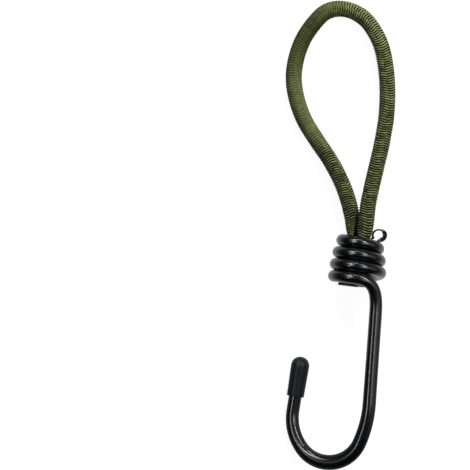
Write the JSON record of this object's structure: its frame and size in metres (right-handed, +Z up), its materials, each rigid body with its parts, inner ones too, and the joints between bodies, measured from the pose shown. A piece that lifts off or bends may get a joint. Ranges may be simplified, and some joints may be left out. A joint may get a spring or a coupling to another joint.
{
  "type": "bungee cord",
  "caption": "Short elastic cord loop held in the coiled end of a plastic-coated wire hook with a soft cap on its tip.",
  "frame": {"origin": "on the table, under the middle of the box round the hook, its coil and its cap", "axes": "+Y from the hook's bend towards the cord loop, +X to the right as seen from above, +Z up from the table"},
  "size_m": [0.042, 0.1792, 0.0216],
  "materials": {
    "coat_black": "glossy black dip-coated plastic",
    "cap_charcoal": "matte charcoal soft vinyl",
    "wire_steel": "drawn steel wire",
    "clip_zinc": "zinc-plated steel strap",
    "sheath_olive": "braided synthetic yarn in olive green",
    "rubber_cream": "cream latex rubber"
  },
  "bodies": {
    "hook": {"hook_wire": "wire_steel", "hook_coat": "coat_black", "tip_cap": "cap_charcoal", "end_clip": "clip_zinc", "sheath_left_leg": "sheath_olive", "sheath_right_leg": "sheath_olive", "rubber_strand_1": "rubber_cream", "rubber_strand_2": "rubber_cream", "rubber_strand_3": "rubber_cream", "rubber_strand_4": "rubber_cream", "rubber_strand_5": "rubber_cream", "rubber_strand_6": "rubber_cream", "rubber_strand_7": "rubber_cream"},
    "loop": {"sheath_crown": "sheath_olive"}
  },
  "joints": [
    {"name": "cord_stretch", "type": "slide", "parent": "hook", "child": "loop", "axis": [0, 1, 0], "range_m": [0, 0.07], "stiffness_N_per_m": 2400, "deforming": ["sheath_left_leg", "sheath_right_leg", "rubber_strand_1", "rubber_strand_2", "rubber_strand_3", "rubber_strand_4", "rubber_strand_5", "rubber_strand_6", "rubber_strand_7"]}
  ]
}
